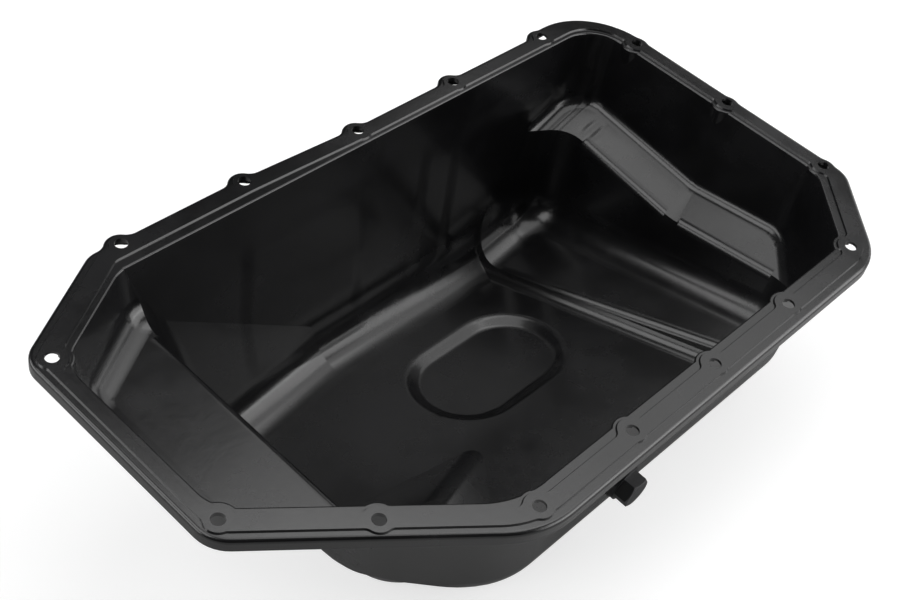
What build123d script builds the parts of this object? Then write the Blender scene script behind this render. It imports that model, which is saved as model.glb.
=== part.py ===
from build123d import *
from math import cos, radians, sin, tan
import os

# Engine oil pan: one pressed steel tray with a bolted rim, a weld nut and a drain plug.
# X runs along the crankshaft, +Z points up into the engine, z = 0 is the sealing plane.

# ---------------------------------------------------------------- driving sizes
sheet = 1.5                    # steel thickness
sump_depth = 130.0             # sealing plane to sump floor, on the crankshaft's line
floor_tilt = 12.0              # the engine stands inclined, so the floor is not parallel to the rim
shelf_depth = 33.0             # shallow end
shelf_draft = 11.5

rim_drop = 1.0                 # sealing bead stands this far above the rest of the rim
skirt_depth = 8.0              # turned-down outer edge
bead_flank = 0.6               # plan width of the bead's sloping sides
bolt_hole_radius = 3.5
bolt_ear_radius = 8.8
bead_lobe_radius = 8.2         # bead pad round a bolt, towards the hollow
bead_pad_radius = 7.4          # the same, towards the edge
bolt_relief_radius = 10.5      # the wall steps in around each bolt
bolt_relief_tip_radius = 2.0
bolt_relief_depth = 60.0
ear_blend_radius = 8.0
bead_blend_radius = 4.0
bead_groove_inset = 1.2
shoulder_radius = 2.2
shoulder_to_bead = 0.3         # flat left between the shoulder and a bead pad

mouth_rounding = 1.0           # rim into wall, seen from inside
wall_foot_radius = 25.0
shelf_foot_radius = 15.0
ledge_root_radius = 9.0
shelf_crest_radius = 6.0
middle_crest_radius = 8.0
middle_foot_radius = 10.0
ledge_crest_radius = 8.0
terrace_rise = 13.0
middle_rise = 8.0              # floor behind the middle riser
middle_slope = 0.25
terrace_tip_radius = 22.0

# the wall planes' top edges: distance from the origin, measured square to the wall, and draft
far_wall_reach, far_wall_draft = 107.0, 3.7
near_wall_reach, near_wall_draft = 113.0, 2.3
end_wall_reach, end_wall_draft = 212.5, 5.5
lower_end_wall_reach = 188.0   # below the ledge
end_chamfer_reach, end_chamfer_draft = 199.7, 5.0
diagonal_reach = 158.0
step_reach, step_draft = 163.5, 14.0
shelf_end_reach = 217.5
shelf_chamfer_reach = 174.2
# azimuths of the walls that are not square to the crankshaft
end_chamfer_azimuth = -44.4
diagonal_azimuth = -128.2
shelf_chamfer_azimuth = 120.36

deep_corner_radius = 25.0      # upright corners, wall to wall
lower_corner_radius = 30.0
near_diagonal_radius = 50.0
diagonal_step_radius = 35.0
shelf_corner_radius = 22.0
shelf_diagonal_radius = 24.0
middle_wall_foot_radius = 24.0
ledge_valley_radius = 40.0     # between the ledge's two slopes

# where the raised floors stop along the crankshaft, each hidden inside a deeper part
shelf_stop = -145.0
terrace_stop = 20.0
middle_start = 110.0
ledge_start = 140.0
middle_level_x = 130.0         # where the middle floor has its stated rise
riser_slope = 26.0

blank_margin = 10.0            # the blocks that the planes cut reach this far past the pan

recess_centre = (46, 15.5)     # oval pocket in the sump floor
recess_half_length = 19.0      # between its round ends' centres
recess_radius = 36.0
recess_depth = 4.0
recess_slope = 60.0            # of its sides, from upright
recess_foot_radius = 6.0
recess_crest_radius = 8.0

drain_x, drain_z = -3.0, -77.0
drain_thread_radius = 7.0
drain_hole_radius = 7.5
drain_clearance = 0.05
hex_chamfer_angle = 30.0
boss_radius = 10.0
boss_height = 16.0
boss_chamfer = 1.0
washer_radius = 11.0
washer_thickness = 1.5
washer_clearance = 0.2
plug_flange_radius = 10.5
plug_flange_thickness = 2.5
plug_hex_across_flats = 17.0
plug_hex_height = 8.0
plug_shank_length = 20.0
plug_tip_chamfer = 1.5
plug_face_inset = 0.4

# Bolt holes, anticlockwise from the far side of the shallow end
far_row_left = [(-150, 121), (-70, 121)]
far_row_right = [(10, 117), (89, 117), (171, 117)]
end_row = [(220, 77), (220, 4.5), (220, -68)]
near_row = [(171, -118)] + [(101 - 69 * i, -121) for i in range(4)]
corner_holes = [(-167, -80), (-220, -36), (-220, 80)]
eared_holes = far_row_left + far_row_right + end_row
plain_holes = near_row + corner_holes
bolt_holes = eared_holes + plain_holes
relieved_holes = end_row + plain_holes

# Rim outlines as corners with their radii, anticlockwise
rim_corners = [
    (-230, 88, 15), (-230, -42.2, 20), (-114.1, -133.3, 55), (176, -133.3, 40), (227.5, -80.8, 18),
    (227.5, 124.5, 45), (176, 124.5, 6), (168, 121, 6), (10, 121, 60), (-70, 125, 60), (-166.8, 125, 14),
]
bead_outer_corners = [
    (-226, 85.2, 11), (-226, -39.9, 16), (-114.3, -127.7, 50), (174.5, -127.7, 34), (223.5, -77.7, 14),
    (223.5, 121, 41.5), (176, 121, 6), (168, 117, 6), (10, 118.3, 60), (-70, 122.4, 60), (-162.4, 122.4, 10),
]
bead_inner_corners = [
    (-220.5, 76.7, 6), (-220.5, -32.7, 10), (-112.2, -117.9, 44), (170.9, -117.9, 24), (215, -72.9, 9),
    (215, 109.6, 26), (10, 109.6, 60), (-70, 112.5, 60), (-159.5, 112.5, 8),
]


# the block the hollow is cut from
blank_length = 2 * (max(abs(x) for x, y, r in rim_corners) + blank_margin)
blank_width = 2 * (max(abs(y) for x, y, r in rim_corners) + blank_margin)
blank_depth = sump_depth + tan(radians(floor_tilt)) * blank_width / 2 + 2 * blank_margin


def direction(angle):
    return Vector(cos(radians(angle)), sin(radians(angle)), 0)

def wall(distance, azimuth, draft):
    """Outward-facing plane of a drafted wall; distance and azimuth are those of its top edge."""
    out = direction(azimuth)
    normal = out * cos(radians(draft)) - Vector(0, 0, sin(radians(draft)))
    return Plane(origin=out * distance, x_dir=Vector(-out.Y, out.X, 0), z_dir=normal)

def through(a, b, c, facing):
    """Plane through three points, on the side that faces the given direction."""
    a, b, c = Vector(a), Vector(b), Vector(c)
    normal = (b - a).cross(c - a).normalized()
    if normal.dot(Vector(facing)) < 0:
        normal = normal * -1
    return Plane(origin=a, x_dir=(b - a).normalized(), z_dir=normal)

def floor_height(x, y, rise=0.0, along_x=0.0, from_x=0.0):
    """Height of a floor that lies rise above the sump floor and may slope further along X."""
    return rise - sump_depth - tan(radians(floor_tilt)) * y + along_x * (x - from_x)

def floor_plane(**slopes):
    """Upward-facing floor."""
    corners = [(x, y, floor_height(x, y, **slopes)) for x, y in ((0, 0), (100, 0), (0, 100))]
    return through(*corners, facing=(0, 0, 1))

# ---------------------------------------------------------------- planes of the pressed hollow, inside surface
far_wall = wall(far_wall_reach, 90, far_wall_draft)
end_wall = wall(end_wall_reach, 0, end_wall_draft)
lower_end_wall = wall(lower_end_wall_reach, 0, end_wall_draft)
end_chamfer_wall = wall(end_chamfer_reach, end_chamfer_azimuth, end_chamfer_draft)
near_wall = wall(near_wall_reach, -90, near_wall_draft)
diagonal_wall = wall(diagonal_reach, diagonal_azimuth, shelf_draft)
step_wall = wall(step_reach, 180, step_draft)
# the far wall's lower corner beside the step is cut off by a sloping facet
far_facet = through((0, 98.1, -140), (-158, 104.7, -36), (-122, 76, -150), facing=(0, 1, 0))
shelf_end_wall = wall(shelf_end_reach, 180, shelf_draft)
shelf_chamfer_wall = wall(shelf_chamfer_reach, shelf_chamfer_azimuth, shelf_draft)
shelf_far_wall = wall(far_wall_reach, 90, shelf_draft)

sump_floor = floor_plane()
terrace_floor = floor_plane(rise=terrace_rise)
middle_floor = floor_plane(rise=middle_rise, along_x=middle_slope, from_x=middle_level_x)
shelf_floor = Plane.XY.offset(-shelf_depth)
ledge_far_floor = through((206, 86, -50), (206, 2, -60), (182, 44, -64), facing=(0, 0, 1))
ledge_near_floor = through((206, 2, -60), (206, -66, -52), (182, -62, -63), facing=(0, 0, 1))

def riser(foot_a, foot_b, slope, rise_towards):
    """Upward-facing plane climbing from a line drawn on the sump floor."""
    a = Vector(*foot_a, floor_height(*foot_a))
    b = Vector(*foot_b, floor_height(*foot_b))
    uphill = Vector(*rise_towards, 0).normalized()
    middle = (a + b) * 0.5 + uphill
    top = Vector(middle.X, middle.Y, floor_height(middle.X, middle.Y) + tan(radians(slope)))
    return through(a, b, top, facing=(0, 0, 1))

terrace_far_riser = riser((-105, -10), (-30, -24), riser_slope, (-0.18, -0.98))
terrace_end_riser = riser((-20, -40), (-70, -92), riser_slope, (-0.72, 0.69))
middle_riser = through((117.5, 72, -145.3), (141, -79, -113.2), (121.7, 72, -137.3), facing=(1, 0, 0))

deep_walls = [far_wall, end_wall, end_chamfer_wall, near_wall, diagonal_wall, step_wall, far_facet]
deep_corners = [
    (near_wall, diagonal_wall, near_diagonal_radius),
    (diagonal_wall, step_wall, diagonal_step_radius),
    (step_wall, far_facet, deep_corner_radius),
    (far_wall, end_wall, deep_corner_radius),
    (end_wall, end_chamfer_wall, deep_corner_radius),
    (end_chamfer_wall, near_wall, deep_corner_radius),
]
lower_walls = [far_wall, lower_end_wall, end_chamfer_wall, near_wall]
lower_corners = [(first, second, lower_corner_radius) for first, second in zip(lower_walls, lower_walls[1:])]
ledge_walls = [far_wall, end_wall, end_chamfer_wall, near_wall]
ledge_corners = [(first, second, deep_corner_radius) for first, second in zip(ledge_walls, ledge_walls[1:])]
shelf_walls = [shelf_end_wall, shelf_chamfer_wall, shelf_far_wall, diagonal_wall]
shelf_corners = [
    (shelf_end_wall, shelf_chamfer_wall, shelf_corner_radius),
    (shelf_chamfer_wall, shelf_far_wall, shelf_corner_radius),
    (shelf_end_wall, diagonal_wall, shelf_diagonal_radius),
]

middle_foot_centre = (129, 0)
# outward corners of the steel: upper floor, falling plane, radius, middle in plan and length
crests = [
    (shelf_floor, step_wall, shelf_crest_radius, (-155, 15.7), 138),
    (middle_floor, middle_riser, middle_crest_radius, (135, -10.1), 168),
    (ledge_far_floor, lower_end_wall, ledge_crest_radius, (182, 36.6), 73),
    (ledge_near_floor, lower_end_wall, ledge_crest_radius, (182, -44.4), 70),
]

def west_of(x):
    """Cutting plane that leaves what lies at smaller X."""
    return Plane(origin=(x, 0, 0), x_dir=(0, 1, 0), z_dir=(1, 0, 0))

def east_of(x):
    """Cutting plane that leaves what lies at larger X."""
    return Plane(origin=(x, 0, 0), x_dir=(0, -1, 0), z_dir=(-1, 0, 0))

def lies_on(edge, plane):
    return all(abs(plane.to_local_coords(edge @ t).Z) < 0.02 for t in (0.1, 0.5, 0.9))

def edges_between(part, first, second):
    return [e for e in part.edges() if lies_on(e, first) and lies_on(e, second)]

def outline_of_floors(part, cuts):
    """Edges round the floor faces, without the ones two floors share or a cut made."""
    low = [e for f in part.faces() if f.normal_at(f.center()).Z < -0.6 for e in f.edges()]
    alone = [e for e in low if sum(1 for other in low if other.is_same(e)) == 1]
    return [e for e in alone if not any(lies_on(e, c) for c in cuts)]

def chamber(walls, corners, floors, foot_radius, growth, cuts=(), valley_radius=0):
    """Hollow bounded by drafted walls and floors, grown outward by growth."""
    with BuildPart(mode=Mode.PRIVATE) as block:
        with BuildSketch(Plane.XY):
            Rectangle(blank_length, blank_width)
        extrude(amount=-blank_depth)
        for plane in walls:
            split(bisect_by=plane.offset(growth), keep=Keep.BOTTOM)
        for first, second, radius in corners:
            corner = edges_between(block.part, first.offset(growth), second.offset(growth))
            fillet(corner, radius=radius + growth)
        for plane in cuts:
            split(bisect_by=plane, keep=Keep.BOTTOM)
        for plane in floors:
            split(bisect_by=plane.offset(-growth), keep=Keep.TOP)
        if valley_radius:
            valley = edges_between(block.part, *[plane.offset(-growth) for plane in floors])
            fillet(valley, radius=valley_radius + growth)
        fillet(outline_of_floors(block.part, cuts), radius=foot_radius + growth)
    return block.part

def under_terrace(growth):
    """Steel side of the two risers that lead up to the terrace."""
    with BuildPart(mode=Mode.PRIVATE) as block:
        with BuildSketch(Plane.XY.offset(-blank_depth - blank_margin)):
            with Locations((terrace_stop, 0)):
                Rectangle(blank_length, blank_width, align=(Align.MAX, Align.CENTER))
        extrude(amount=blank_depth - shelf_depth)
        split(bisect_by=terrace_far_riser.offset(-growth), keep=Keep.BOTTOM)
        split(bisect_by=terrace_end_riser.offset(-growth), keep=Keep.BOTTOM)
        tip = edges_between(block.part, terrace_far_riser.offset(-growth), terrace_end_riser.offset(-growth))
        fillet(tip, radius=terrace_tip_radius - growth)
    return block.part

def floor_recess(growth):
    """Oval pocket pressed into the sump floor."""
    centre_x, centre_y = recess_centre
    floor_centre = (centre_x, centre_y, floor_height(centre_x, centre_y))
    mouth = Plane(origin=floor_centre, x_dir=sump_floor.x_dir, z_dir=sump_floor.z_dir).offset(-growth)
    with BuildPart(mode=Mode.PRIVATE) as pocket:
        with BuildSketch(mouth):
            radius = recess_radius + growth * tan(radians(45 - recess_slope / 2))
            SlotCenterToCenter(2 * recess_half_length, 2 * radius)
        extrude(amount=-recess_depth, taper=recess_slope)
        bottom = pocket.faces().sort_by(Axis(mouth.origin, mouth.z_dir))[0]
        fillet(bottom.edges(), radius=recess_foot_radius + growth)
        with BuildSketch(mouth):
            SlotCenterToCenter(2 * recess_half_length, 2 * radius)
        extrude(amount=recess_depth)
    return pocket.part

def relief_cones(growth):
    """Cones round the bolts, which push the wall inward below each hole."""
    with BuildPart(mode=Mode.PRIVATE) as cones:
        with Locations(*[(x, y, -bolt_relief_depth / 2) for x, y in relieved_holes]):
            Cone(
                bottom_radius=bolt_relief_tip_radius,
                top_radius=bolt_relief_radius - growth,
                height=bolt_relief_depth,
            )
    return cones.part

def corner_filler(first, second, radius, middle, length):
    """Prism between two planes' corner and the round of that radius which touches both.

    Each plane is a (plane, side) pair, where side is 1 if the round lies on its normal's side.
    """
    towards = [plane.z_dir * side for plane, side in (first, second)]
    along = towards[0].cross(towards[1]).normalized()

    def meeting(depth, level):
        """Where the line that lies this far from both planes crosses the level plane."""
        a, b = (Plane(origin=plane.origin + way * depth, z_dir=way)
                for (plane, side), way in zip((first, second), towards))
        return level.intersect(a.intersect(b))

    corner = meeting(0, Plane(origin=(*middle, 0), z_dir=(along.X, along.Y, 0)))
    centre = meeting(radius, Plane(origin=corner, z_dir=along))
    touches = [centre - way * radius for way in towards]
    summit = centre + (corner - centre).normalized() * radius
    profile = Plane(origin=corner, x_dir=(touches[0] - corner).normalized(), z_dir=along)
    a, m, b = (profile.to_local_coords(point) for point in (touches[0], summit, touches[1]))
    with BuildPart(mode=Mode.PRIVATE) as filler:
        with BuildSketch(profile):
            with BuildLine():
                Line((0, 0), (a.X, a.Y))
                ThreePointArc((a.X, a.Y), (m.X, m.Y), (b.X, b.Y))
                Line((b.X, b.Y), (0, 0))
            make_face()
        extrude(amount=length / 2, both=True)
    return filler.part

def pressed_form(growth):
    """The hollow of the pan, or with growth the outside of the steel round it."""
    with BuildPart(mode=Mode.PRIVATE) as form:
        add(chamber(deep_walls, deep_corners, [sump_floor], wall_foot_radius, growth))
        split(bisect_by=middle_riser.offset(growth), keep=Keep.BOTTOM)
        add(under_terrace(growth), mode=Mode.SUBTRACT)
        add(chamber(
            deep_walls, deep_corners, [terrace_floor], wall_foot_radius, growth, cuts=[west_of(terrace_stop)],
        ))
        add(chamber(
            lower_walls, lower_corners, [middle_floor], middle_wall_foot_radius, growth,
            cuts=[east_of(middle_start)],
        ))
        add(chamber(
            ledge_walls, ledge_corners, [ledge_far_floor, ledge_near_floor], ledge_root_radius, growth,
            cuts=[east_of(ledge_start)], valley_radius=ledge_valley_radius,
        ))
        add(chamber(
            shelf_walls, shelf_corners, [shelf_floor], shelf_foot_radius, growth, cuts=[west_of(shelf_stop)],
        ))
        for floor, drop, radius, middle, length in crests:
            steel_sides = (floor.offset(-growth), -1), (drop.offset(growth), 1)
            add(corner_filler(*steel_sides, radius - growth, middle, length))
        hollow_sides = (sump_floor.offset(-growth), 1), (middle_riser.offset(growth), -1)
        foot = corner_filler(*hollow_sides, middle_foot_radius + growth, middle_foot_centre, 2 * near_wall_reach)
        add(foot, mode=Mode.SUBTRACT)
        add(floor_recess(growth))
        recess_middle = Vector(*recess_centre, floor_height(*recess_centre))
        recess_reach = recess_half_length + recess_radius + recess_depth
        recess_crest = [
            e for e in form.edges()
            if lies_on(e, sump_floor.offset(-growth)) and (e.center() - recess_middle).length < recess_reach
        ]
        fillet(recess_crest, radius=recess_crest_radius - growth)
        add(relief_cones(growth), mode=Mode.SUBTRACT)
    return form.part

def rounded_outline(corners):
    """Closed outline from corners given as x, y and corner radius."""
    with BuildSketch(mode=Mode.PRIVATE) as outline:
        with BuildLine():
            FilletPolyline(*[(x, y) for x, y, r in corners], radius=[r for x, y, r in corners], close=True)
        make_face()
    return outline.sketch

def soften_inward_corners(sketch, radius):
    """Rounds the corners where two outward bulges of a flat outline meet."""
    grown = offset(sketch, amount=radius, kind=Kind.ARC, mode=Mode.PRIVATE)
    return offset(grown, amount=-radius, kind=Kind.ARC, mode=Mode.PRIVATE)

def soften_outward_corners(sketch, radius):
    shrunk = offset(sketch, amount=-radius, kind=Kind.ARC, mode=Mode.PRIVATE)
    return offset(shrunk, amount=radius, kind=Kind.ARC, mode=Mode.PRIVATE)

# outside of the near wall, centred on the drain, facing away from the pan
near_outside = near_wall.offset(sheet)
drain_drop = (drain_z - near_outside.origin.Z) / near_outside.y_dir.Z
drain_face = Plane(
    origin=near_outside.from_local_coords((drain_x, drain_drop, 0)),
    x_dir=near_outside.x_dir,
    z_dir=near_outside.z_dir,
)

# ---------------------------------------------------------------- rim
with BuildSketch() as eared_rim:
    add(rounded_outline(rim_corners))
    with Locations(*eared_holes):
        Circle(bolt_ear_radius)
rim_outline = soften_inward_corners(eared_rim.sketch, ear_blend_radius)

with BuildSketch() as bead_outside:
    add(rounded_outline(bead_outer_corners))
    with Locations(*eared_holes):
        Circle(bolt_ear_radius - shoulder_radius - shoulder_to_bead)
    with Locations(*plain_holes):
        Circle(bead_pad_radius)
with BuildSketch() as bead_inside:
    add(rounded_outline(bead_inner_corners))
    with Locations(*bolt_holes):
        Circle(bead_lobe_radius, mode=Mode.SUBTRACT)
bead_outer_edge = soften_inward_corners(bead_outside.sketch, bead_blend_radius)
bead_inner_edge = soften_outward_corners(bead_inside.sketch, bead_blend_radius)

with BuildPart() as oil_pan:
    # turned-down edge and rim plate, one blank with its inside taken out from below
    with BuildSketch(Plane.XY.offset(-skirt_depth)):
        add(rim_outline)
    extrude(amount=skirt_depth - rim_drop)
    fillet(oil_pan.faces().sort_by(Axis.Z)[-1].edges(), radius=shoulder_radius)
    with BuildSketch(Plane.XY.offset(-skirt_depth)):
        offset(rim_outline, amount=-sheet, kind=Kind.ARC)
    extrude(amount=skirt_depth - rim_drop - sheet, mode=Mode.SUBTRACT)
    # sealing bead: a raised band with a groove pressed into its underside
    with BuildPart(mode=Mode.PRIVATE) as bead:
        with BuildSketch(Plane.XY.offset(-rim_drop - sheet)):
            add(bead_outer_edge)
            add(bead_inner_edge, mode=Mode.SUBTRACT)
        extrude(amount=rim_drop + sheet)
        chamfer(bead.faces().sort_by(Axis.Z)[-1].edges(), length=rim_drop, length2=bead_flank)
    add(bead.part)
    with BuildSketch(Plane.XY.offset(-rim_drop - sheet)):
        offset(rounded_outline(bead_outer_corners), amount=-bead_groove_inset, kind=Kind.ARC)
        offset(rounded_outline(bead_inner_corners), amount=bead_groove_inset, kind=Kind.ARC, mode=Mode.SUBTRACT)
    extrude(amount=rim_drop, mode=Mode.SUBTRACT)
    # pressed body, its hollow, and the rounded mouth
    with BuildPart(mode=Mode.PRIVATE) as body:
        add(pressed_form(sheet))
        split(bisect_by=Plane.XY.offset(-rim_drop - sheet / 2), keep=Keep.BOTTOM)
    add(body.part)
    add(pressed_form(0), mode=Mode.SUBTRACT)
    rim_top = oil_pan.faces().filter_by(Plane.XY).filter_by(lambda f: abs(f.center().Z + rim_drop) < 0.01)
    mouth = rim_top.sort_by(SortBy.AREA)[-1].inner_wires()[0].edges()
    fillet(mouth, radius=mouth_rounding)
    with BuildSketch():
        with Locations(*bolt_holes):
            Circle(bolt_hole_radius)
    extrude(amount=-skirt_depth, mode=Mode.SUBTRACT)
    with BuildSketch(drain_face):
        Circle(drain_hole_radius)
    extrude(amount=-sheet, mode=Mode.SUBTRACT)
oil_pan.part.label = "oil_pan"

# ---------------------------------------------------------------- drain: weld nut, washer and plug
with BuildPart() as drain_boss:
    with BuildSketch(drain_face.offset(-sheet)):
        Circle(boss_radius)
        Circle(drain_thread_radius, mode=Mode.SUBTRACT)
    extrude(amount=-boss_height)
    chamfer(drain_boss.faces().sort_by(Axis(drain_face.origin, drain_face.z_dir))[0].edges(), length=boss_chamfer)
drain_boss.part.label = "drain_boss"

with BuildPart() as sealing_washer:
    with BuildSketch(drain_face):
        Circle(washer_radius)
        Circle(drain_thread_radius + washer_clearance, mode=Mode.SUBTRACT)
    extrude(amount=washer_thickness)
sealing_washer.part.label = "sealing_washer"

plug_seat = drain_face.offset(washer_thickness)
with BuildPart() as drain_plug:
    with BuildSketch(plug_seat):
        RegularPolygon(radius=plug_hex_across_flats / 2, major_radius=False, side_count=6)
    extrude(amount=plug_flange_thickness + plug_hex_height)
    hex_top = plug_seat.offset(plug_flange_thickness + plug_hex_height)
    with BuildSketch(hex_top):
        Circle(plug_hex_across_flats / 2 - plug_face_inset)
    extrude(amount=-plug_flange_thickness - plug_hex_height, taper=hex_chamfer_angle - 90, mode=Mode.INTERSECT)
    with BuildSketch(plug_seat):
        Circle(plug_flange_radius)
    extrude(amount=plug_flange_thickness)
    with BuildSketch(plug_seat):
        Circle(drain_thread_radius - drain_clearance)
    extrude(amount=-plug_shank_length)
    tip = drain_plug.faces().sort_by(Axis(drain_face.origin, drain_face.z_dir))[0]
    chamfer(tip.edges(), length=plug_tip_chamfer)
drain_plug.part.label = "drain_plug"

os.makedirs("parts", exist_ok=True)
export_step(oil_pan.part, "parts/oil_pan.step")
export_step(drain_boss.part, "parts/drain_boss.step")
export_step(sealing_washer.part, "parts/sealing_washer.step")
export_step(drain_plug.part, "parts/drain_plug.step")
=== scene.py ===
from math import cos, pi, radians, sin

import bpy
from mathutils import Matrix, Vector


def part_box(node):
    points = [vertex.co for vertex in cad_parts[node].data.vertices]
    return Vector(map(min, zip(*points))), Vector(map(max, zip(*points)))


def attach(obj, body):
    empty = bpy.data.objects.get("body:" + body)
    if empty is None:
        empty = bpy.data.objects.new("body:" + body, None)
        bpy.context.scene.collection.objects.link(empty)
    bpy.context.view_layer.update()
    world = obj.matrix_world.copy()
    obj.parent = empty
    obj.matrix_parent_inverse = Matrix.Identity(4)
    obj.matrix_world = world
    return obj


bl_info = {
    "name": "Engine Oil Pan",
    "version": (1, 0, 0),
    "blender": (4, 5, 0),
    "location": "View3D > Sidebar > Oil Pan",
    "description": "Dresses a pressed steel oil pan with coating, plug, washer and studio",
    "category": "Object",
}

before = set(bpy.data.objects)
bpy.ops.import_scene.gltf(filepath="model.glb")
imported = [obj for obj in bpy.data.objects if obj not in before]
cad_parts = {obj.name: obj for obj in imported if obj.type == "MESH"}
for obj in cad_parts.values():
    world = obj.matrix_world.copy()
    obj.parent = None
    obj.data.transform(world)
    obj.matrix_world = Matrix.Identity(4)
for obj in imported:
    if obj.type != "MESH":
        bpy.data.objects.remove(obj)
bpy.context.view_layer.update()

MM = 0.001
WHITE = (1, 1, 1)
FLOOR_TILT = 12.0              # the sump floor's slope against the rim, in degrees
DRAIN_WALL_DRAFT = 2.3         # slope of the wall that carries the drain, in degrees


# ---------------------------------------------------------------- sizes and colours

class OilPanFinish(bpy.types.PropertyGroup):
    """Colours and gloss of the coated steel and the drain fittings."""

    coat_colour: bpy.props.FloatVectorProperty(
        name="Coat", description="Colour of the dipped coating",
        subtype="COLOR", size=3, min=0, max=1, default=(0.004, 0.004, 0.0043))
    coat_thin_colour: bpy.props.FloatVectorProperty(
        name="Thin coat", description="Colour where the coating ran thin",
        subtype="COLOR", size=3, min=0, max=1, default=(0.008, 0.008, 0.0088))
    coat_roughness: bpy.props.FloatProperty(
        name="Coat roughness", description="Middle roughness of the coating",
        min=0, max=1, default=0.25, subtype="FACTOR")
    mark_height: bpy.props.FloatProperty(
        name="Drawing marks", description="How far the creases that deep drawing leaves stand out",
        default=1.6 * MM, unit="LENGTH")
    dust_colour: bpy.props.FloatVectorProperty(
        name="Dust", description="Colour of the dust that lies on level faces",
        subtype="COLOR", size=3, min=0, max=1, default=(0.30, 0.29, 0.27))
    plug_colour: bpy.props.FloatVectorProperty(
        name="Plug", description="Colour of the plated drain plug",
        subtype="COLOR", size=3, min=0, max=1, default=(0.15, 0.15, 0.155))
    washer_colour: bpy.props.FloatVectorProperty(
        name="Washer", description="Colour of the soft metal washer",
        subtype="COLOR", size=3, min=0, max=1, default=(0.20, 0.20, 0.195))


class OilPanWeld(bpy.types.PropertyGroup):
    """Sizes of the weld that holds the drain boss."""

    radius: bpy.props.FloatProperty(
        name="Ring radius", description="From the boss's axis to the middle of the weld",
        default=10.2 * MM, unit="LENGTH")
    bead: bpy.props.FloatProperty(
        name="Bead radius", description="Half the thickness of the weld bead",
        default=1.3 * MM, unit="LENGTH")
    ripples: bpy.props.IntProperty(
        name="Ripples", description="Number of solidified ripples round the weld",
        default=36, min=8, max=120)
    ripple_depth: bpy.props.FloatProperty(
        name="Ripple depth", description="How far the ripples stand out",
        default=0.18 * MM, unit="LENGTH")


class OilPanStage(bpy.types.PropertyGroup):
    """Floor, lamps and camera."""

    floor_colour: bpy.props.FloatVectorProperty(
        name="Floor", description="Colour of the pale floor",
        subtype="COLOR", size=3, min=0, max=1, default=(0.45, 0.45, 0.45))
    floor_size: bpy.props.FloatProperty(
        name="Floor size", description="Length of the floor's side",
        default=12.0, unit="LENGTH")
    lamp_distance: bpy.props.FloatProperty(
        name="Lamp distance", description="How far the tent's walls stand from the pan",
        default=1.5, unit="LENGTH")
    side_brightness: bpy.props.FloatProperty(
        name="Side walls", description="Brightness of the tent's walls to the right and left",
        default=2.8, min=0)
    back_brightness: bpy.props.FloatProperty(
        name="Back panels", description="Brightness of the panels behind the deep end",
        default=1.35, min=0)
    top_brightness: bpy.props.FloatProperty(
        name="Top panel", description="Brightness of the overhead panel",
        default=1.7, min=0)
    lens: bpy.props.FloatProperty(
        name="Lens", description="Focal length of the camera, in millimetres",
        default=57.02, unit="CAMERA")
    camera_place: bpy.props.FloatVectorProperty(
        name="Camera", description="Where the camera stands",
        size=3, subtype="XYZ", unit="LENGTH", default=(-0.47043, -0.29148, 0.50351))


# ---------------------------------------------------------------- shared helpers

def deselect_all():
    if bpy.context.object and bpy.context.object.mode != "OBJECT":
        bpy.ops.object.mode_set(mode="OBJECT")
    bpy.ops.object.select_all(action="DESELECT")


def seat_in_mesh(piece):
    """Puts the piece's place into its mesh, so its object lies at the origin, and leaves it selected."""
    deselect_all()
    bpy.context.view_layer.objects.active = piece
    piece.select_set(True)
    bpy.ops.object.transform_apply(location=True, rotation=True, scale=True)


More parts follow.
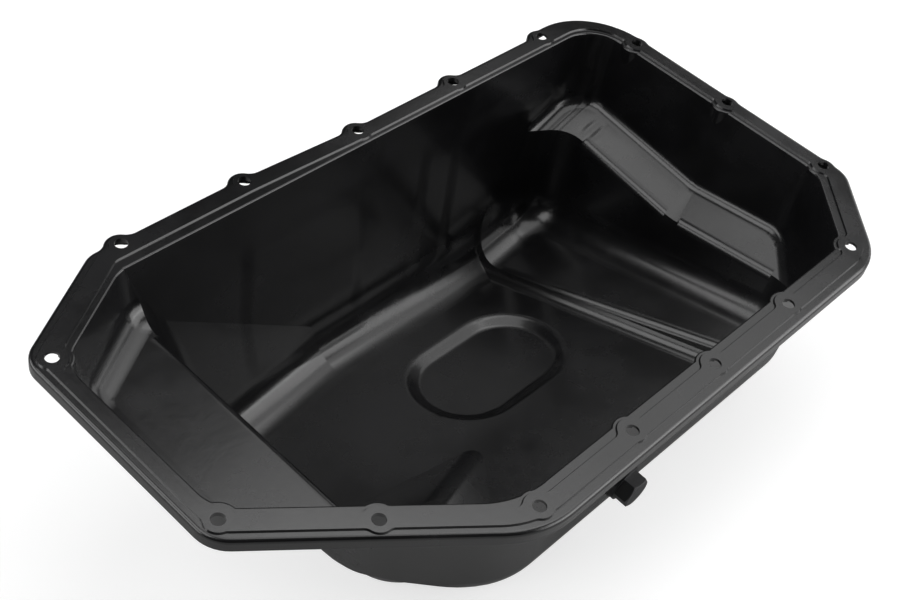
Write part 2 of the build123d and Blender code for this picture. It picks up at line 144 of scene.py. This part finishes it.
class Shading:
    """Adds nodes to one material, effect or world, and joins them."""

    def __init__(self, tree):
        self.nodes = tree.nodes
        self.links = tree.links

    def add(self, kind, **settings):
        node = self.nodes.new(kind)
        for name, setting in settings.items():
            setattr(node, name, setting)
        return node

    def feed(self, socket, value):
        """Links an output to the socket, or writes a plain number, vector or colour into it."""
        if isinstance(value, bpy.types.NodeSocket):
            self.links.new(value, socket)
        elif socket.type == "RGBA":
            socket.default_value = (*value, 1)
        else:
            socket.default_value = value

    def feed_named(self, node, values):
        for name, value in values.items():
            self.feed(node.inputs[name], value)

    def object_place(self):
        return self.add("ShaderNodeTexCoord").outputs["Object"]

    def split(self, vector):
        """Outputs X, Y and Z of a vector."""
        node = self.add("ShaderNodeSeparateXYZ")
        self.feed(node.inputs[0], vector)
        return node.outputs

    def distance(self, place, centre=(0, 0, 0)):
        node = self.add("ShaderNodeVectorMath", operation="DISTANCE")
        self.feed(node.inputs[0], place)
        self.feed(node.inputs[1], centre)
        return node.outputs["Value"]

    def noise(self, place, scale, detail, roughness=0.5):
        node = self.add("ShaderNodeTexNoise")
        self.feed_named(node, {"Vector": place, "Scale": scale, "Detail": detail, "Roughness": roughness})
        return node.outputs["Fac"]

    def remap(self, value, span, reach=(0.0, 1.0)):
        """Eases from the first to the second end of reach while the value crosses the span."""
        node = self.add("ShaderNodeMapRange", interpolation_type="SMOOTHSTEP")
        self.feed_named(node, {
            "Value": value,
            "From Min": span[0], "From Max": span[1],
            "To Min": reach[0], "To Max": reach[1],
        })
        return node.outputs["Result"]

    def maths(self, operation, *values):
        node = self.add("ShaderNodeMath", operation=operation)
        for socket, value in zip(node.inputs, values):
            self.feed(socket, value)
        return node.outputs[0]

    def chain(self, operation, first, *others):
        """Joins any number of values with one operation, from left to right."""
        for other in others:
            first = self.maths(operation, first, other)
        return first

    def mix(self, mask, first, second):
        """Goes from the first colour to the second as the mask rises."""
        node = self.add("ShaderNodeMix", data_type="RGBA")
        self.feed(node.inputs["Factor"], mask)
        colours = [socket for socket in node.inputs if socket.type == "RGBA"]
        for socket, colour in zip(colours, (first, second)):
            self.feed(socket, colour)
        return next(socket for socket in node.outputs if socket.type == "RGBA")

    def bump(self, height, distance, under=None):
        """Normal with the height raised by that distance in metres, on top of the bump under it."""
        node = self.add("ShaderNodeBump")
        self.feed_named(node, {"Height": height, "Distance": distance})
        if under is not None:
            self.feed(node.inputs["Normal"], under)
        return node.outputs["Normal"]


# ---------------------------------------------------------------- effects that several materials share

# Noise levels between which a pattern rises from nothing to full
MOTTLE_SPAN = (0.35, 0.68)
DUST_PATCH_SPAN = (0.38, 0.72)
DUST_SPECK_SPAN = (0.55, 0.75)
SCRATCH_SPAN = (0.62, 0.74)

DUST_LEVEL_SPAN = (0.55, 1.0)  # upward part of the normal, where dust starts and where it is full
DUST_BETWEEN_SPECKS = 0.35

# Sets of scratches: turn about Z in radians, and scale of the pattern along the scratch
SCRATCH_SETS = ((0.5, 0.035), (-0.9, 0.05))
SCRATCH_ROLL = 0.3             # turn about X, as a share of the turn about Z
SCRATCH_PITCH = 0.2            # turn about Y, in radians
SCRATCH_HEIGHT = 8             # scale of the pattern along Z against that along the scratch

# Creases: place along X in metres, and step up or down as a share of the marks' height
CREASES = ((-0.078, 0.8), (0.012, -0.6), (0.062, 0.5), (0.090, 0.9))
FAR_WALL_SPAN = (0.088, 0.094)     # along Y, where the far wall begins
BELOW_RIM_SPAN = (-0.022, -0.045)  # along Z, where the creases fade in
FOLD_CENTRE = (0.191, 0.073, -0.053)  # at the ledge's far end
FOLD_FADE_SPAN = (0.012, 0.004)    # distance from the centre, where the folds begin and are full
FOLD_HEIGHT = 0.18                 # as a share of the marks' height


def effect_group(name, inputs, outputs):
    """A node group of plain values: the group, its shading, and the sockets to read and to feed."""
    group = bpy.data.node_groups.new(name, "ShaderNodeTree")
    for label, value in inputs.items():
        socket = group.interface.new_socket(name=label, in_out="INPUT", socket_type="NodeSocketFloat")
        socket.default_value = value
    for label in outputs:
        group.interface.new_socket(name=label, in_out="OUTPUT", socket_type="NodeSocketFloat")
    shading = Shading(group)
    return group, shading, shading.add("NodeGroupInput").outputs, shading.add("NodeGroupOutput").inputs


def coating_relief():
    """Orange peel and fine grain of a dipped coating, as a height, with a mottled mask."""
    group, shading, given, result = effect_group(
        "Coating relief", {"Peel scale": 260.0, "Grain scale": 1800.0, "Grain share": 0.25},
        ("Height", "Mottle"))
    place = shading.object_place()
    peel = shading.noise(place, given["Peel scale"], detail=2.0)
    grain = shading.noise(place, given["Grain scale"], detail=3.0, roughness=0.6)
    weighted = shading.maths("MULTIPLY", grain, given["Grain share"])
    shading.feed(result["Height"], shading.maths("ADD", peel, weighted))
    cloud = shading.noise(place, scale=14.0, detail=5.0, roughness=0.62)
    shading.feed(result["Mottle"], shading.remap(cloud, MOTTLE_SPAN))
    return group


def settled_dust():
    """Mask of dust on faces that look up, broken into patches and specks."""
    group, shading, given, result = effect_group(
        "Settled dust", {"Amount": 0.1, "Patch scale": 45.0}, ("Mask",))
    place = shading.object_place()
    facing = shading.split(shading.add("ShaderNodeNewGeometry").outputs["Normal"])
    level = shading.remap(facing["Z"], DUST_LEVEL_SPAN)
    patch = shading.noise(place, given["Patch scale"], detail=6.0, roughness=0.7)
    speck = shading.noise(place, scale=900.0, detail=2.0)
    patches = shading.remap(patch, DUST_PATCH_SPAN)
    specks = shading.remap(speck, DUST_SPECK_SPAN, (DUST_BETWEEN_SPECKS, 1.0))
    shading.feed(result["Mask"], shading.chain("MULTIPLY", level, patches, specks, given["Amount"]))
    return group


def handling_scuffs():
    """Faint stretched scratches from stacking and handling."""
    group, shading, given, result = effect_group(
        "Handling scuffs", {"Amount": 0.3, "Scale": 60.0}, ("Mask",))
    place = shading.object_place()
    scratches = []
    for turn, stretch in SCRATCH_SETS:
        mapping = shading.add("ShaderNodeMapping")
        shading.feed_named(mapping, {
            "Vector": place,
            "Rotation": (SCRATCH_ROLL * turn, SCRATCH_PITCH, turn),
            "Scale": (1.0, stretch, stretch * SCRATCH_HEIGHT),
        })
        streak = shading.noise(mapping.outputs["Vector"], given["Scale"], detail=5.0, roughness=0.75)
        scratches.append(shading.remap(streak, SCRATCH_SPAN))
    strongest = shading.chain("MAXIMUM", *scratches)
    shading.feed(result["Mask"], shading.maths("MULTIPLY", strongest, given["Amount"]))
    return group


def drawing_marks():
    """Faint upright creases in the far wall, and folds at the ledge's far end, as a height."""
    group, shading, given, result = effect_group(
        "Drawing marks", {"Crease width": 6 * MM, "Fold pitch": 7.5 * MM}, ("Height",))
    place = shading.object_place()
    along = shading.split(place)
    steps = []
    for crease_x, step in CREASES:
        offset = shading.maths("SUBTRACT", along["X"], crease_x)
        away = shading.maths("DIVIDE", offset, given["Crease width"])
        steps.append(shading.remap(away, (-1.0, 1.0), (0.0, step)))
    on_far_wall = shading.remap(along["Y"], FAR_WALL_SPAN)
    below_rim = shading.remap(along["Z"], BELOW_RIM_SPAN)
    creases = shading.chain("MULTIPLY", shading.chain("ADD", *steps), on_far_wall, below_rim)
    pitches = shading.maths("DIVIDE", along["Y"], given["Fold pitch"])
    wave = shading.maths("SINE", shading.maths("MULTIPLY", pitches, 2 * pi))
    near = shading.remap(shading.distance(place, FOLD_CENTRE), FOLD_FADE_SPAN, (0.0, FOLD_HEIGHT))
    folds = shading.maths("MULTIPLY", wave, near)
    shading.feed(result["Height"], shading.maths("ADD", creases, folds))
    return group


effect_groups = {}


def effect(shading, maker, **values):
    """Places a shared effect in a material, building its group the first time, and gives its outputs."""
    if maker.__name__ not in effect_groups:
        effect_groups[maker.__name__] = maker()
    node = shading.add("ShaderNodeGroup")
    node.node_tree = effect_groups[maker.__name__]
    for name, value in values.items():
        shading.feed(node.inputs[name.replace("_", " ").capitalize()], value)
    return node.outputs


# ---------------------------------------------------------------- materials

# Coated steel
COAT_PEEL_DEPTH = 0.04 * MM
COAT_ROUGHNESS_DOWN = 0.03     # where the coat is thick
COAT_ROUGHNESS_UP = 0.04       # where it ran thin
COAT_DUST_ROUGHENS = 0.5
COAT_SCUFFS_ROUGHEN = 0.12

# Fittings
METAL_GRAIN_DEPTH = 0.02 * MM
METAL_DARKENS = 0.62           # colour of the darker patches against the plain metal's
METAL_ROUGHNESS_DOWN = 0.05
METAL_ROUGHNESS_UP = 0.08
METAL_SCUFFS_ROUGHEN = 0.15

# Floor
FLOOR_SHADE = (0.34, 0.34, 0.34)
FLOOR_CLOUD_SPAN = (0.3, 0.7)
FLOOR_CLOUD_SHARE = 0.03       # most of the shade that a cloud mixes in
FLOOR_GLOW_SPAN = (0.4, 1.2)   # distance from the pan, in metres
FLOOR_GLOW = (0.68, 1.0)       # what the camera sees beside the floor's own colour, near and far


def new_material(name):
    """A material, its shading and its shader."""
    material = bpy.data.materials.new(name)
    material.use_nodes = True
    return material, Shading(material.node_tree), material.node_tree.nodes["Principled BSDF"]


def coated_steel(name, finish, dust, scuffs, roughness, marks=0.0):
    """Black dipped coating on pressed steel; marks is the height of the drawing marks in it."""
    material, shading, shader = new_material(name)
    relief = effect(shading, coating_relief)
    dusty = effect(shading, settled_dust, amount=dust)
    worn = effect(shading, handling_scuffs, amount=scuffs)
    coat = shading.mix(relief["Mottle"], finish.coat_colour, finish.coat_thin_colour)
    bare_roughness = shading.remap(
        relief["Mottle"], (0.0, 1.0), (roughness - COAT_ROUGHNESS_DOWN, roughness + COAT_ROUGHNESS_UP))
    normal = shading.bump(relief["Height"], COAT_PEEL_DEPTH)
    if marks:
        drawn = effect(shading, drawing_marks)
        normal = shading.bump(drawn["Height"], marks, under=normal)
    shading.feed_named(shader, {
        "Base Color": shading.mix(dusty["Mask"], coat, finish.dust_colour),
        "Roughness": shading.chain(
            "ADD", bare_roughness,
            shading.maths("MULTIPLY", dusty["Mask"], COAT_DUST_ROUGHENS),
            shading.maths("MULTIPLY", worn["Mask"], COAT_SCUFFS_ROUGHEN)),
        "Normal": normal,
        "Specular IOR Level": 0.46,
        "Coat Weight": 0.4,
        "Coat Roughness": 0.15,
    })
    return material


def plated_metal(name, colour, dust_colour, roughness, grain, dust):
    """Plated or bare metal of a fitting, with a fine machined grain."""
    material, shading, shader = new_material(name)
    relief = effect(shading, coating_relief, peel_scale=900.0, grain_scale=5200.0, grain_share=grain)
    dusty = effect(shading, settled_dust, amount=dust, patch_scale=160.0)
    worn = effect(shading, handling_scuffs, amount=0.5, scale=420.0)
    darker = [METAL_DARKENS * channel for channel in colour]
    metal = shading.mix(relief["Mottle"], colour, darker)
    bare_roughness = shading.remap(
        relief["Mottle"], (0.0, 1.0), (roughness - METAL_ROUGHNESS_DOWN, roughness + METAL_ROUGHNESS_UP))
    shading.feed_named(shader, {
        "Base Color": shading.mix(dusty["Mask"], metal, dust_colour),
        "Roughness": shading.maths(
            "ADD", bare_roughness, shading.maths("MULTIPLY", worn["Mask"], METAL_SCUFFS_ROUGHEN)),
        "Normal": shading.bump(relief["Height"], METAL_GRAIN_DEPTH),
        "Metallic": 1.0,
    })
    return material


def pale_floor(floor_colour):
    """Matt floor that also glows for the camera, more so away from the pan."""
    material, shading, shader = new_material("Pale floor")
    place = shading.object_place()
    cloud = shading.noise(place, scale=3.0, detail=4.0)
    clouded = shading.remap(cloud, FLOOR_CLOUD_SPAN, (0.0, FLOOR_CLOUD_SHARE))
    seen = shading.add("ShaderNodeLightPath").outputs["Is Camera Ray"]
    glow = shading.remap(shading.distance(place), FLOOR_GLOW_SPAN, FLOOR_GLOW)
    shading.feed_named(shader, {
        "Base Color": shading.mix(clouded, floor_colour, FLOOR_SHADE),
        "Emission Color": WHITE,
        "Emission Strength": shading.maths("MULTIPLY", seen, glow),
        "Roughness": 0.9,
        "Specular IOR Level": 0.1,
    })
    return material


def dress(node, material):
    """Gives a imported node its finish, in every slot that it has."""
    slots = node.data.materials
    if slots:
        for i in range(len(slots)):
            slots[i] = material
    else:
        slots.append(material)


# ---------------------------------------------------------------- operators

class OILPAN_OT_pressing(bpy.types.Operator):
    """Coats the pressed pan and the boss welded into it"""

    bl_idname = "oilpan.pressing"
    bl_label = "Coat the pan"

    def execute(self, context):
        finish = context.scene.oilpan_finish
        dress(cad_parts["oil_pan"], coated_steel(
            "Dipped black coat", finish, dust=0.012, scuffs=0.35,
            roughness=finish.coat_roughness, marks=finish.mark_height))
        dress(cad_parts["drain_boss"], coated_steel(
            "Coated boss", finish, dust=0.03, scuffs=0.5, roughness=finish.coat_roughness + 0.05))
        return {"FINISHED"}


class OILPAN_OT_drain(bpy.types.Operator):
    """Finishes the drain plug and its sealing washer"""

    bl_idname = "oilpan.drain"
    bl_label = "Finish the drain fittings"

    def execute(self, context):
        finish = context.scene.oilpan_finish
        dress(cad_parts["drain_plug"], plated_metal(
            "Plated plug", finish.plug_colour, finish.dust_colour, roughness=0.34, grain=0.4, dust=0.2))
        dress(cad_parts["sealing_washer"], plated_metal(
            "Soft washer metal", finish.washer_colour, finish.dust_colour,
            roughness=0.42, grain=0.6, dust=0.2))
        return {"FINISHED"}


WELD_POINTS_PER_RIPPLE = 4
WELD_POINTS_ROUND_BEAD = 12


class OILPAN_OT_weld(bpy.types.Operator):
    """Lays the weld bead where the drain boss meets the wall"""

    bl_idname = "oilpan.weld"
    bl_label = "Weld the boss"

    def execute(self, context):
        weld = context.scene.oilpan_weld
        low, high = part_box("drain_boss")
        draft = radians(DRAIN_WALL_DRAFT)
        into_pan = Vector((0, cos(draft), sin(draft)))
        length = (high.y - low.y - 2 * weld.radius * sin(draft)) / cos(draft)
        foot = (low + high) / 2 - into_pan * length / 2
        turn = into_pan.to_track_quat("Z", "Y")
        deselect_all()
        bpy.ops.mesh.primitive_torus_add(
            major_segments=weld.ripples * WELD_POINTS_PER_RIPPLE, minor_segments=WELD_POINTS_ROUND_BEAD,
            major_radius=weld.radius, minor_radius=weld.bead,
            location=foot, rotation=turn.to_euler())
        bead = context.object
        bead.name = "boss_weld"
        seat_in_mesh(bead)
        bpy.ops.object.shade_smooth()
        self.raise_ripples(bead, weld, Matrix.Translation(foot) @ turn.to_matrix().to_4x4())
        bead.data.materials.append(coated_steel(
            "Coated weld", context.scene.oilpan_finish, dust=0.1, scuffs=0.2, roughness=0.45))
        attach(bead, "root")
        return {"FINISHED"}

    def raise_ripples(self, bead, weld, from_ring):
        """Swells the bead in even ripples; from_ring places its ring, which lies flat, on the wall."""
        to_ring = from_ring.inverted()
        for vertex in bead.data.vertices:
            place = to_ring @ vertex.co
            angle = place.xy.angle_signed(Vector((1, 0)), 0.0)
            swell = weld.ripple_depth * (0.5 + 0.5 * sin(angle * weld.ripples))
            core = Vector((place.x, place.y, 0)).normalized() * weld.radius
            vertex.co = from_ring @ (place + (place - core).normalized() * swell)


FLOOR_GAP = 0.2 * MM           # between the sump and the floor
WATTS_PER_BRIGHTNESS = pi      # for a square metre of lamp, where a brightness of 1 looks white
WORLD_LIGHT = 0.03             # the world's strength for all but the camera, which sees it white
CAMERA_RIGHT = (0.6777, -0.7158, 0.1686)
CAMERA_UP = (0.4353, 0.5753, 0.6925)
SENSOR_WIDTH = 36              # in millimetres
CLIP_END = 50                  # in metres


class OILPAN_OT_stage(bpy.types.Operator):
    """Builds the floor, the lamps, the world and the camera"""

    bl_idname = "oilpan.stage"
    bl_label = "Set the stage"

    def execute(self, context):
        stage = context.scene.oilpan_stage
        low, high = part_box("oil_pan")
        self.lay_floor(context, stage)
        self.set_camera(context, stage)
        self.hang_lamps(stage, (low + high) / 2)
        self.paint_world(context)
        context.scene.view_settings.view_transform = "Standard"
        return {"FINISHED"}

    def lay_floor(self, context, stage):
        """A plane tilted under the sloping sump floor, just below its lowest point."""
        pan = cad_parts["oil_pan"]
        tilt = radians(FLOOR_TILT)
        up = Vector((0, sin(tilt), cos(tilt)))
        lowest = min(vertex.co.dot(up) for vertex in pan.data.vertices)
        deselect_all()
        bpy.ops.mesh.primitive_plane_add(
            size=stage.floor_size, location=up * (lowest - FLOOR_GAP),
            rotation=up.to_track_quat("Z", "Y").to_euler())
        floor = context.object
        floor.name = "studio_floor"
        seat_in_mesh(floor)
        floor.data.materials.append(pale_floor(stage.floor_colour))

    def set_camera(self, context, stage):
        """Camera looking down into the pan from the shallow end's near corner."""
        right = Vector(CAMERA_RIGHT).normalized()
        back = right.cross(Vector(CAMERA_UP)).normalized()
        turn = Matrix((right, back.cross(right), back)).transposed().to_4x4()
        deselect_all()
        bpy.ops.object.camera_add()
        camera = context.object
        camera.name = "studio_camera"
        camera.matrix_world = Matrix.Translation(stage.camera_place) @ turn
        camera.data.sensor_width = SENSOR_WIDTH
        camera.data.lens = stage.lens
        camera.data.clip_end = CLIP_END
        context.scene.camera = camera

    def hang_lamps(self, stage, middle):
        """A light tent: bright walls to the right and left, weaker panels behind and overhead."""
        for name, azimuth, elevation, width, height, brightness in (
            ("tent_right", 300, 16, 1.5, 0.8, stage.side_brightness),
            ("tent_left", 145, 14, 1.5, 0.7, stage.side_brightness),
            ("tent_slant_right", 312, 38, 1.4, 0.7, stage.side_brightness),
            ("tent_slant_left", 158, 48, 1.1, 0.7, stage.side_brightness),
            ("tent_low_back", 2, 16, 1.1, 0.6, stage.back_brightness),
            ("tent_slant_back", 12, 55, 1.2, 0.9, stage.back_brightness),
            ("tent_top", 40, 82, 1.2, 1.2, stage.top_brightness),
        ):
            round_z, rise = radians(azimuth), radians(elevation)
            way = Vector((cos(round_z) * cos(rise), sin(round_z) * cos(rise), sin(rise)))
            deselect_all()
            bpy.ops.object.light_add(type="AREA", location=middle + way * stage.lamp_distance)
            lamp = bpy.context.object
            lamp.name = name
            lamp.rotation_euler = way.to_track_quat("Z", "Y").to_euler()
            lamp.data.shape = "RECTANGLE"
            lamp.data.size = width
            lamp.data.size_y = height
            lamp.data.energy = brightness * WATTS_PER_BRIGHTNESS * width * height

    def paint_world(self, context):
        """A white world for the camera, and a faint one as a lamp and in reflections."""
        world = bpy.data.worlds.new("studio_world")
        context.scene.world = world
        world.use_nodes = True
        shading = Shading(world.node_tree)
        seen = shading.add("ShaderNodeLightPath").outputs["Is Camera Ray"]
        shown = shading.maths("MULTIPLY", seen, 1 - WORLD_LIGHT)
        shading.feed_named(world.node_tree.nodes["Background"], {
            "Color": WHITE,
            "Strength": shading.maths("ADD", shown, WORLD_LIGHT),
        })


class OILPAN_PT_panel(bpy.types.Panel):
    """Sidebar list of the pan's pieces"""

    bl_idname = "OILPAN_PT_panel"
    bl_label = "Oil Pan"
    bl_space_type = "VIEW_3D"
    bl_region_type = "UI"
    bl_category = "Oil Pan"

    def draw(self, context):
        layout = self.layout
        for operator in OPERATORS:
            layout.operator(operator.bl_idname)
        for settings in (context.scene.oilpan_finish, context.scene.oilpan_weld, context.scene.oilpan_stage):
            box = layout.box()
            for name in settings.__annotations__:
                box.prop(settings, name)


OPERATORS = (OILPAN_OT_pressing, OILPAN_OT_drain, OILPAN_OT_weld, OILPAN_OT_stage)
CLASSES = (OilPanFinish, OilPanWeld, OilPanStage, *OPERATORS, OILPAN_PT_panel)


def register():
    for item in CLASSES:
        bpy.utils.register_class(item)
    bpy.types.Scene.oilpan_finish = bpy.props.PointerProperty(type=OilPanFinish)
    bpy.types.Scene.oilpan_weld = bpy.props.PointerProperty(type=OilPanWeld)
    bpy.types.Scene.oilpan_stage = bpy.props.PointerProperty(type=OilPanStage)


def unregister():
    del bpy.types.Scene.oilpan_stage
    del bpy.types.Scene.oilpan_weld
    del bpy.types.Scene.oilpan_finish
    for item in reversed(CLASSES):
        bpy.utils.unregister_class(item)


def main():
    register()
    for operator in OPERATORS:
        group, name = operator.bl_idname.split(".")
        getattr(getattr(bpy.ops, group), name)()


if __name__ == "__main__":
    main()
